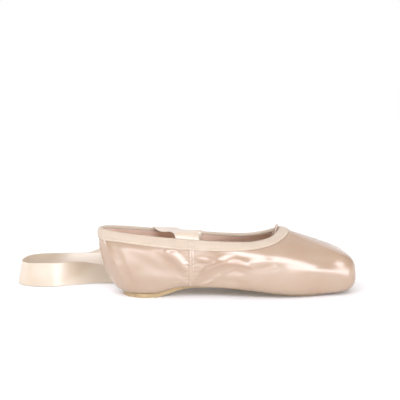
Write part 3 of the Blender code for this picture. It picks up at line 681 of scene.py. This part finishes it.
def cloth_uv(grid):
    """Distances in metres round the shoe and up the wall."""
    round_step = np.linalg.norm(np.diff(grid, axis=0), axis=2).mean(axis=1)
    u = np.concatenate([[0], np.cumsum(round_step)])[:, None]
    v = running_length(grid)
    return np.stack([np.broadcast_to(u, v.shape), v], axis=-1)


def over_rim(along, radius, degrees):
    """Points round the rim, radius clear of the wall: 0 degrees is outside, 90 above, 180 inside."""
    rim = plain_skin(along, 1.0)
    normal, climb = outward(along, np.ones_like(along))
    half_wall = wall_at(to_share(rim[..., :1])) / 2
    angle = math.radians(degrees)
    way = normal * math.cos(angle) + climb * math.sin(angle)
    return rim - normal * half_wall + (half_wall + radius) * way


def casing_line(along, drop, lift, inside=False):
    """A line round the shoe at drop below the rim and lift off the wall's outer or inner face."""
    fine = np.linspace(1, 0.7, 61)
    below = running_length(plain_skin(along[:, None], fine[None, :]))
    up = np.array([np.interp(drop, row, fine) for row in below])
    place = plain_skin(along, up)
    normal, _ = outward(along, up)
    lift = np.reshape(lift, (-1, 1))
    if inside:
        lift = -(wall_at(to_share(place[:, :1])) + lift)
    return place + normal * lift


def make_casing():
    """The drawstring casing: a puffed strip folded over the rim, stitched down along both edges."""
    along = COLUMNS
    rim = plain_skin(along, 1.0)
    gather = slow_waves(rim, 11, 0.008, 0.02) + 0.6 * np.sin(2 * math.pi * along / GATHER_PITCH)
    near_throat = 0.35 + 0.65 * smooth(0.60, 0.70, to_share(rim[:, 0]))
    crimp = GATHER_RISE * gather * near_throat
    base = CLEARANCE * 0.4 + seam_ridge(along)
    lines = []
    for share in (1.0, 1.0, 0.985, 0.94, 0.89, CASING_STITCH, 0.79, 0.72, 0.60, 0.46, 0.32, 0.18, 0.06):
        lift = CASING_LEAF
        if share < CASING_STITCH:
            lift += CASING_PUFF * math.sin(math.pi * share / CASING_STITCH)
        elif share == CASING_STITCH:
            lift *= 0.72
        elif share > 0.97:
            lift *= 0.75 + 5 * (1 - share) if lines else 0.25
        crimped = crimp * (0.4 + math.sin(math.pi * share))
        lines.append(casing_line(along, share * CASING_DROP, base + lift + crimped))
    for degrees in (25, 55, 85, 115, 145):
        lines.append(over_rim(along, CLEARANCE + CASING_LEAF + crimp[:, None], degrees))
    leaf_start = len(lines)
    for share in (0.05, 0.25, 0.45, 0.65, 0.80, LEAF_STITCH, 0.94, 0.99, 1.0):
        lift = CASING_LEAF * (0.75 if share == LEAF_STITCH else 1.0 if share < 1 else 0.3)
        lines.append(casing_line(along, share * CASING_TURN, CLEARANCE + lift, inside=True))
    for share in (1.0, 0.5):
        lines.append(casing_line(along, share * CASING_TURN, CLEARANCE * 0.5, inside=True))
    lines.append(over_rim(along, CLEARANCE * 0.5, 90))
    lines.append(casing_line(along, 0.5 * CASING_DROP, base * 0.6))
    grid = np.stack(lines, axis=1)
    mesh = grid_mesh("casing", grid, closed_v=True, uv=cloth_uv(grid))
    # The turned-in leaf takes a paler copy of the tape's colour: painted light against the shade inside
    # the shoe.
    turned_in_brightened = np.tile(np.arange(len(lines)) >= leaf_start, len(along))
    mesh.polygons.foreach_set("material_index", turned_in_brightened.astype(np.int32))
    add_object("casing", mesh, [COTTON_TAPE, INNER_TAPE_PAINTED_LIGHT], ("binding",))


def read_at(line, reach, at):
    """The place on a line of points at a distance along it."""
    return np.array([np.interp(at, reach, line[:, k]) for k in range(3)])


def stitch_run(name, line, ways, sizes, closed=True):
    """Short stitches along a line of points, as one mesh of small rounded bars."""
    pitch, length, thick = sizes
    if closed:
        line, ways = (np.concatenate([each, each[:1]]) for each in (line, ways))
    reach = running_length(line)
    count = int(reach[-1] // pitch)
    angles = np.arange(STITCH_SIDES) * 2 * math.pi / STITCH_SIDES
    vertices, faces = [], []
    for start in np.arange(count) * reach[-1] / count:
        first = len(vertices)
        for share, fat, sink in STITCH_RINGS:
            at = start + share * length
            middle = read_at(line, reach, at)
            way = unit(read_at(ways, reach, at))
            across = unit(np.cross(read_at(line, reach, at + 1e-4) - middle, way))
            middle = middle + way * thick * sink
            for angle in angles:
                turned = across * math.cos(angle) + way * math.sin(angle)
                vertices.append(middle + thick * fat * turned)
        for ring in range(first, len(vertices) - STITCH_SIDES, STITCH_SIDES):
            for k in range(STITCH_SIDES):
                a, b = ring + k, ring + (k + 1) % STITCH_SIDES
                faces.append((a, b, b + STITCH_SIDES, a + STITCH_SIDES))
        faces.append(range(first + STITCH_SIDES - 1, first - 1, -1))
        faces.append(range(len(vertices) - STITCH_SIDES, len(vertices)))
    mesh = bpy.data.meshes.new(name)
    mesh.from_pydata(vertices, [], [tuple(face) for face in faces])
    mesh.update()
    mesh.shade_smooth()
    add_object(name, mesh, [THREAD])


def make_outsole():
    """The sole leather: a plate inside the sole's outline, rounded below and square above."""
    along = np.arange(SOLE_COLUMNS) * TURN / SOLE_COLUMNS
    outline = ClosedSpline(around("sole"), KNOTS).at(along)
    below, above = ((1, 0), (0.45, 0.12), (0.12, 0.45), (0, 1)), ((0, -0.3), (0.3, 0))
    rows = []
    for face, steps in ((sole_bottom, below), (sole_top, above)):
        for inset, lift in steps:
            plan = outline + inward(outline) * SOLE_BEVEL * inset
            rows.append(np.column_stack([plan, face(to_share(plan[:, 0])) + SOLE_BEVEL * lift]))
    grid = np.stack(rows, axis=1)
    mesh = grid_mesh("outsole_leather", grid)
    n, m = grid.shape[:2]
    strips = [(i, i + 1, n - i - 1, (n - i) % n) for i in range(n // 2)]
    add_faces(mesh, [[i * m + j for i in strip] for strip in strips for j in (0, m - 1)])
    mesh.set_sharp_from_angle(angle=math.radians(40))
    add_object("outsole_leather", mesh, [SOLE_LEATHER], ("outsole",))


def make_insole():
    """The inner sole keeps its own solid, with its own surface."""
    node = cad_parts["insole"]
    node.data.materials.clear()
    node.data.materials.append(INSOLE_BOARD)


def open_spline(points, step):
    """A smooth open curve through points, read at each of them and about every step between."""
    before, after = 2 * points[:1] - points[1:2], 2 * points[-1:] - points[-2:-1]
    held = np.concatenate([before, points, after])
    a, b, c, d = (held[k : k + len(points) - 1] for k in range(4))
    fine = []
    for i, gap in enumerate(np.linalg.norm(np.diff(points[:, :3], axis=0), axis=1)):
        steps = max(1, int(round(gap / step)))
        for t in np.arange(steps) / steps:
            curve = 2 * b[i] + (c[i] - a[i]) * t + (2 * a[i] - 5 * b[i] + 4 * c[i] - d[i]) * t**2
            fine.append((curve + (3 * b[i] - a[i] - 3 * c[i] + d[i]) * t**3) / 2)
    return np.array(fine + [points[-1]])


def laid_points(rows):
    """Places in metres and width directions, from rows of a route."""
    points = []
    for row in rows:
        place = (to_world(row.x), row.y * BALL_WIDTH, row.z * HEEL_HEIGHT)
        points.append((*place, *unit(np.array([row.wide_x, row.wide_y, row.wide_z]))))
    return points


def rim_points(x_share, arc):
    """A ribbon's way over the far rim at x_share, from inside to outside."""
    half_turn = np.linspace(0, TURN / 2, 400)
    place = np.interp(to_world(x_share), plain_skin(half_turn, 1.0)[:, 0], half_turn)
    clear = CLEARANCE + CASING_LEAF + RIM_PUFF + RIBBON_CLEARANCE
    half_ribbon = np.array([place - RIBBON_WIDTH / 2, place + RIBBON_WIDTH / 2])
    width = unit(np.diff(plain_skin(half_ribbon, 1.0), axis=0)[0])
    return [(*over_rim(np.array([place]), clear, degrees)[0], *width) for degrees in arc]


def softened(values, rounds):
    """Each value drawn towards its neighbours, with both ends held."""
    values = values.copy()
    for _ in range(rounds):
        values[1:-1] = (values[:-2] + 2 * values[1:-1] + values[2:]) / 4
    return values


def make_ribbon(name, node, points, seed):
    """A thin satin ribbon along the node's own line, with a slight cup, soft kinks and firm edges."""
    fine = open_spline(np.array(points), RIBBON_STEP)
    middle = fine[:, :3].copy()
    run = unit(np.gradient(middle, axis=0))
    width = fine[:, 3:]
    width = unit(width - run * (width * run).sum(axis=1, keepdims=True))
    width = unit(softened(width, 12))
    on_edge = np.abs(width[:, 2]) * RIBBON_WIDTH / 2
    middle[:, 2] = np.maximum(middle[:, 2], 0) + on_edge + RIBBON_LAID_THICK
    middle = softened(middle, 6)
    face = unit(np.cross(run, width))
    reach = running_length(middle)
    across = np.concatenate([[-1, -0.94], np.linspace(-0.86, 0.86, RIBBON_ACROSS - 3), [0.94, 1]])
    loose = smooth(0.05, 0.12, reach)[:, None]
    cup = CUP * (across**2 - 0.4)[None, :] * np.sin(reach / CUP_TURN + seed)[:, None]
    ripple = RIPPLE * np.sin(reach[:, None] / RIPPLE_TURN + 2.2 * across[None, :] + seed)
    ripple = ripple * smooth(0.2, 0.9, np.sin(reach / RIPPLE_PATCH + 2 * seed))[:, None]
    lift = (cup + ripple) * loose
    spread = (across * RIBBON_WIDTH / 2)[None, :, None]
    sheet = middle[:, None] + width[:, None] * spread + face[:, None] * lift[..., None]
    sheet[..., 2] = np.maximum(sheet[..., 2], RIBBON_LAID_THICK / 2 + 0.0001)
    firm = 1 + 0.5 * (np.abs(across) > 0.9)
    thick = RIBBON_CLOTH / 2 * firm[None, :, None] * face[:, None]
    grid = np.concatenate([sheet + thick, (sheet - thick)[:, ::-1]], axis=1)
    sides = np.concatenate([across, across[::-1] + 2]) * RIBBON_WIDTH / 2
    uv = np.stack(np.broadcast_arrays(reach[:, None], sides[None, :]), axis=-1)
    mesh = grid_mesh(name, grid, closed_u=False, closed_v=True, uv=uv)
    n, m = grid.shape[:2]
    strips = [(k, k + 1, m - 2 - k, m - 1 - k) for k in range(m // 2 - 1)]
    add_faces(mesh, [[row * m + j for j in strip] for strip in strips for row in (0, n - 1)])
    piece = add_object(name, mesh, [RIBBON_SATIN], (node,))


def tube_grid(middle, radius, sides):
    """Rings of points round a line."""
    run = unit(np.gradient(middle, axis=0))
    side = unit(np.cross(run, np.array([1.0, 0.13, 0.07])))
    rise = np.cross(side, run)
    angle = np.arange(sides) * 2 * math.pi / sides
    ring = side[:, None] * np.cos(angle)[None, :, None] + rise[:, None] * np.sin(angle)[None, :, None]
    return middle[:, None] + ring * np.reshape(radius, (-1, 1, 1))


def make_drawstring():
    """A small tight knot at the throat, with its two ends tucked inside."""
    tip = np.array([TURN / 2])
    knot = over_rim(tip, CASING_LEAF + 2 * CLEARANCE + KNOT / 2, KNOT_ANGLE)[0]
    t = np.linspace(0, 2 * math.pi, 97)[:-1]
    turn = [-1.2 * np.sin(3 * t), np.sin(t) + 2 * np.sin(2 * t), np.cos(t) - 2 * np.cos(2 * t)]
    loops = knot + np.stack(turn, axis=1) * KNOT_LOOPS
    grid = tube_grid(loops, np.full(len(loops), STRING * 0.42), 10)
    mesh = grid_mesh("string_knot", grid, closed_v=True)
    add_object("string_knot", mesh, [STRING_COTTON], ("drawstring",))
    away = np.linspace(0, 1, 40)
    twist = 1 + 0.05 * np.sin(away * 90)
    for side, name in ((-1, "string_end_near"), (1, "string_end_far")):
        fall = [-STRING_LEAN * away, side * STRING_SPREAD * away, -STRING_END * away**STRING_CURVE]
        grid = tube_grid(knot + np.stack(fall, axis=1), STRING / 2 * twist, 10)
        end = grid_mesh(name, grid, closed_u=False, closed_v=True)
        add_object(name, end, [STRING_COTTON])


class Nodes:
    """A material's nodes, added and linked in a few words."""

    def __init__(self, name):
        self.material = bpy.data.materials.new(name)
        self.material.use_nodes = True
        self.tree = self.material.node_tree
        self.shader = self.tree.nodes["Principled BSDF"]

    def add(self, kind, **settings):
        node = self.tree.nodes.new(kind)
        for key, value in settings.items():
            setattr(node, key, value)
        return node

    def link(self, source, target):
        self.tree.links.new(source, target)

    def set(self, **values):
        for key, value in values.items():
            self.shader.inputs[key.replace("_", " ")].default_value = value

    def place(self, scale=(1, 1, 1), uv=False):
        """Where on the cloth: object space in metres, or the cloth's own round and up distances."""
        source = self.add("ShaderNodeTexCoord").outputs["UV" if uv else "Object"]
        mapping = self.add("ShaderNodeMapping")
        mapping.inputs["Scale"].default_value = scale
        self.link(source, mapping.inputs["Vector"])
        return mapping.outputs["Vector"]

    def texture(self, node, where, **inputs):
        for name, value in inputs.items():
            node.inputs[name].default_value = value
        self.link(where, node.inputs["Vector"])
        return node.outputs["Fac"]

    def noise(self, where, scale, detail=3.0, roughness=0.5):
        node = self.add("ShaderNodeTexNoise")
        return self.texture(node, where, Scale=scale, Detail=detail, Roughness=roughness)

    def wave(self, where, scale, distortion=0.0, direction="X"):
        node = self.add("ShaderNodeTexWave", bands_direction=direction)
        return self.texture(node, where, Scale=scale, Distortion=distortion)

    def ramp(self, value, *stops):
        """Colours or greys along value, as pairs of place and colour."""
        node = self.add("ShaderNodeValToRGB")
        while len(node.color_ramp.elements) < len(stops):
            node.color_ramp.elements.new(0.5)
        for element, (place, colour) in zip(node.color_ramp.elements, stops):
            element.position = place
            element.color = (*colour, 1) if isinstance(colour, tuple) else (colour, colour, colour, 1)
        self.link(value, node.inputs["Fac"])
        return node.outputs["Color"]

    def mix(self, share, a, b):
        node = self.add("ShaderNodeMix", data_type="RGBA")
        for value, socket in ((share, node.inputs[0]), (a, node.inputs[6]), (b, node.inputs[7])):
            if isinstance(value, bpy.types.NodeSocket):
                self.link(value, socket)
            else:
                socket.default_value = (*value, 1) if isinstance(value, tuple) else value
        return node.outputs[2]

    def bump(self, height, distance, strength=1.0, under=None):
        node = self.add("ShaderNodeBump")
        node.inputs["Strength"].default_value = strength
        node.inputs["Distance"].default_value = distance
        self.link(height, node.inputs["Height"])
        if under is not None:
            self.link(under, node.inputs["Normal"])
        return node.outputs["Normal"]


def satin(name, pale, deep, roughness, weave):
    """Satin: a glossy warp face with fine floats, slow shifts of tone and a little sheen."""
    n = Nodes(name)
    cloth = n.place(uv=True)
    tone = n.noise(n.place(), 38, 3)
    n.link(n.ramp(tone, (0.35, deep), (0.65, pale)), n.shader.inputs["Base Color"])
    n.set(Metallic=0.05, IOR=2.1, Anisotropic=0.5, Anisotropic_Rotation=0.25, Sheen_Weight=0.04)
    rough = n.ramp(n.noise(n.place(), 60, 4), (0.3, roughness - 0.04), (0.7, roughness + 0.05))
    n.link(rough, n.shader.inputs["Roughness"])
    tangent = n.add("ShaderNodeTangent", direction_type="UV_MAP")
    n.link(tangent.outputs["Tangent"], n.shader.inputs["Tangent"])
    floats = n.noise(n.place((1.0, 0.12, 1.0), uv=True), weave, 2)
    threads = n.wave(cloth, weave * 0.22)
    slubs = n.bump(floats, 0.00001, 0.5)
    fine = n.bump(threads, 0.000006, 0.5, slubs)
    soft = n.bump(n.noise(n.place(), 90, 2), 0.0002, 0.15, fine)
    n.link(soft, n.shader.inputs["Normal"])
    return n.material


def cotton(name, pale, deep, thread, roughness=0.8, relief=0.00012):
    """Matt cotton tape or drill with a twill line across it."""
    n = Nodes(name)
    cloth = n.place(uv=True)
    tone = n.noise(n.place(), 90, 4)
    n.link(n.ramp(tone, (0.3, deep), (0.7, pale)), n.shader.inputs["Base Color"])
    n.set(Roughness=roughness, IOR=1.45, Sheen_Weight=0.25, Sheen_Roughness=0.5)
    twill = n.wave(cloth, thread, 0.6, "DIAGONAL")
    fibres = n.noise(n.place(), 1400, 3)
    low = n.bump(twill, relief, 0.6)
    n.link(n.bump(fibres, relief, 0.4, low), n.shader.inputs["Normal"])
    return n.material


def leather(name, pale, deep, roughness):
    """Suede leather with a nap, scuffs and darker worn patches."""
    n = Nodes(name)
    place = n.place()
    tone = n.noise(place, 55, 6, 0.6)
    colour = n.ramp(tone, (0.30, deep), (0.62, pale))
    scuff = n.ramp(n.noise(n.place((1, 5, 5)), 120, 4), (0.52, 0.0), (0.66, 1.0))
    worn = tuple(min(1, c * 1.18) for c in pale)
    n.link(n.mix(scuff, colour, worn), n.shader.inputs["Base Color"])
    n.set(Roughness=roughness, IOR=1.45, Sheen_Weight=0.2, Sheen_Roughness=0.6)
    grain = n.bump(n.noise(place, 900, 5, 0.6), 0.00016, 0.7)
    n.link(n.bump(n.noise(place, 160, 3), 0.0003, 0.4, grain), n.shader.inputs["Normal"])
    return n.material


SHOE_SATIN = satin("shoe_satin", (0.41, 0.293, 0.203), (0.395, 0.259, 0.167), 0.21, 2600)
RIBBON_SATIN = satin("ribbon_satin", (0.62, 0.515, 0.40), (0.59, 0.475, 0.355), 0.34, 3200)
COTTON_TAPE = cotton("cotton_tape", (0.535, 0.44, 0.345), (0.505, 0.405, 0.31), 700)
LINING_DRILL = cotton("lining_drill", (0.93, 0.77, 0.67), (0.88, 0.71, 0.61), 420)
# The casing tape again, painted much paler: painted light that makes up for the shade on its turned-in
# leaf inside the shoe.
INNER_TAPE_PAINTED_LIGHT = cotton("inner_tape_painted_light", (0.90, 0.68, 0.56), (0.84, 0.62, 0.50), 700)
STRING_COTTON = cotton("string_cotton", (0.54, 0.43, 0.34), (0.48, 0.37, 0.29), 900)
THREAD = cotton("thread", (0.84, 0.69, 0.55), (0.80, 0.64, 0.50), 1600, 0.6)
SOLE_LEATHER = leather("sole_leather", (0.47, 0.34, 0.18), (0.38, 0.27, 0.15), 0.78)
INSOLE_BOARD = cotton("insole_board", (0.60, 0.45, 0.32), (0.54, 0.39, 0.27), 500, 0.85, 0.0002)


def make_upper():
    """The satin with its lining, as one closed shell."""
    outer, inner = shell_grids()
    grid = np.concatenate([outer, inner[:, ::-1]], axis=1)
    mesh = grid_mesh("upper_satin", grid[::-1], closed_v=True, uv=cloth_uv(grid)[::-1])
    lined = np.tile(np.arange(grid.shape[1]) >= WALL_ROWS - 1, len(grid))
    mesh.polygons.foreach_set("material_index", lined.astype(np.int32))
    add_object("upper_satin", mesh, [SHOE_SATIN, LINING_DRILL], ("upper",))


def seam_line(seam, offset):
    """Points and outward directions up a seam, offset to one side of it."""
    up = np.linspace(*SEAM_STITCHED, 90)
    along = np.full(len(up), SEAMS[seam] + offset)
    place = plain_skin(along, up)
    normal, _ = outward(along, up)
    relief = satin_relief(along, up, place)
    return place + normal * relief[:, None], normal


def make_stitches():
    """Stitches along both edges of the casing and of the back tape, and up each side seam."""
    along = np.arange(STITCH_COLUMNS) * TURN / STITCH_COLUMNS
    normal, _ = outward(along, np.full(len(along), 0.95))
    lift = CASING_LEAF * 0.78
    base = CLEARANCE * 0.4 + seam_ridge(along)
    line = casing_line(along, CASING_STITCH * CASING_DROP, base + lift)
    stitch_run("casing_stitches", line, normal, CASING_STITCHES)
    line = casing_line(along, LEAF_STITCH * CASING_TURN, CLEARANCE + lift, inside=True)
    stitch_run("casing_inner_stitches", line, -normal, CASING_STITCHES)
    for name, seam, side in (
        ("back_stitches_near", 0, -1),
        ("back_stitches_far", 0, 1),
        ("side_stitches_far", 1, 0),
        ("side_stitches_near", 2, 0),
    ):
        line, way = seam_line(seam, side * SEAM_WIDTH * BACK_STITCH)
        stitch_run(name, line, way, SEAM_STITCHES, closed=False)


def make_stage():
    """A plain pale floor, soft light all round and softboxes."""
    mesh = bpy.data.meshes.new("floor")
    corners = [(x * FLOOR_HALF, y * FLOOR_HALF, 0) for x, y in ((-1, -1), (1, -1), (1, 1), (-1, 1))]
    mesh.from_pydata(corners, [], [(0, 1, 2, 3)])
    paper = Nodes("floor_paper")
    paper.set(Base_Color=FLOOR_COLOR, Roughness=0.9, Emission_Color=(1, 1, 1, 1))
    away = paper.add("ShaderNodeVectorMath", operation="LENGTH")
    paper.link(paper.place(), away.inputs[0])
    glow = paper.ramp(away.outputs["Value"], *FLOOR_GLOW)
    paper.link(glow, paper.shader.inputs["Emission Strength"])
    mesh.materials.append(paper.material)
    new_object("floor", mesh)
    make_sky()
    sun = bpy.data.lights.new("ceiling", "SUN")
    sun.energy = CEILING_LIGHT
    sun.angle = math.radians(CEILING_SPREAD)
    new_object("ceiling", sun)
    for name, azimuth, elevation, roll, distance, size, radiance in SOFTBOXES:
        light = bpy.data.lights.new(name, "AREA")
        light.shape = "RECTANGLE"
        light.size, light.size_y = size
        light.color = LAMP_COLOR
        light.energy = radiance * math.pi * size[0] * size[1]
        lamp = new_object(name, light)
        way = direction(azimuth, elevation)
        lamp.location = Vector(LIGHT_AIM) + way * distance
        turned = way.to_track_quat("Z", "Y") @ Quaternion((0, 0, 1), math.radians(-roll))
        lamp.rotation_euler = turned.to_euler()


def direction(azimuth, elevation):
    """From the shoe outwards: azimuth 0 is in front of its near side, and positive turns to the heel."""
    turn, lean = math.radians(azimuth), math.radians(elevation)
    return Vector((-math.sin(turn) * math.cos(lean), -math.cos(turn) * math.cos(lean), math.sin(lean)))


def make_sky():
    """A white studio wall all round that dims towards the ceiling."""
    world = bpy.data.worlds.new("studio")
    bpy.context.scene.world = world
    world.use_nodes = True
    tree = world.node_tree
    place = tree.nodes.new("ShaderNodeTexCoord")
    split = tree.nodes.new("ShaderNodeSeparateXYZ")
    ramp = tree.nodes.new("ShaderNodeValToRGB")
    tree.links.new(place.outputs["Generated"], split.inputs["Vector"])
    tree.links.new(split.outputs["Z"], ramp.inputs["Fac"])
    low, high = ramp.color_ramp.elements
    low.position, low.color = SKY_WALL
    high.position, high.color = SKY_CEILING
    tree.links.new(ramp.outputs["Color"], tree.nodes["Background"].inputs["Color"])


def make_camera():
    """The photo's view of the shoe."""
    way = direction(VIEW_AZIMUTH, VIEW_ELEVATION)
    data = bpy.data.cameras.new("camera")
    data.sensor_fit = "HORIZONTAL"
    data.angle = 2 * math.atan(VIEW_HALF_WIDTH / VIEW_DISTANCE)
    camera = new_object("camera", data)
    camera.location = Vector(VIEW_TARGET) + way * VIEW_DISTANCE
    camera.rotation_euler = way.to_track_quat("Z", "Y").to_euler()
    bpy.context.scene.camera = camera


make_camera()
make_stage()
make_upper()
make_casing()
make_stitches()
make_outsole()
make_insole()
make_drawstring()
near_route = laid_points(NEAR_RISE) + rim_points(NEAR_CROSSING, NEAR_ARC) + laid_points(NEAR_FALL)
far_route = laid_points(FAR_RISE) + rim_points(FAR_CROSSING, FAR_ARC) + laid_points(FAR_FALL)
make_ribbon("ribbon_near_satin", "ribbon_near", near_route, 0.4)
make_ribbon("ribbon_far_satin", "ribbon_far", far_route, 1.9)

bpy.context.scene.view_settings.view_transform = "Standard"
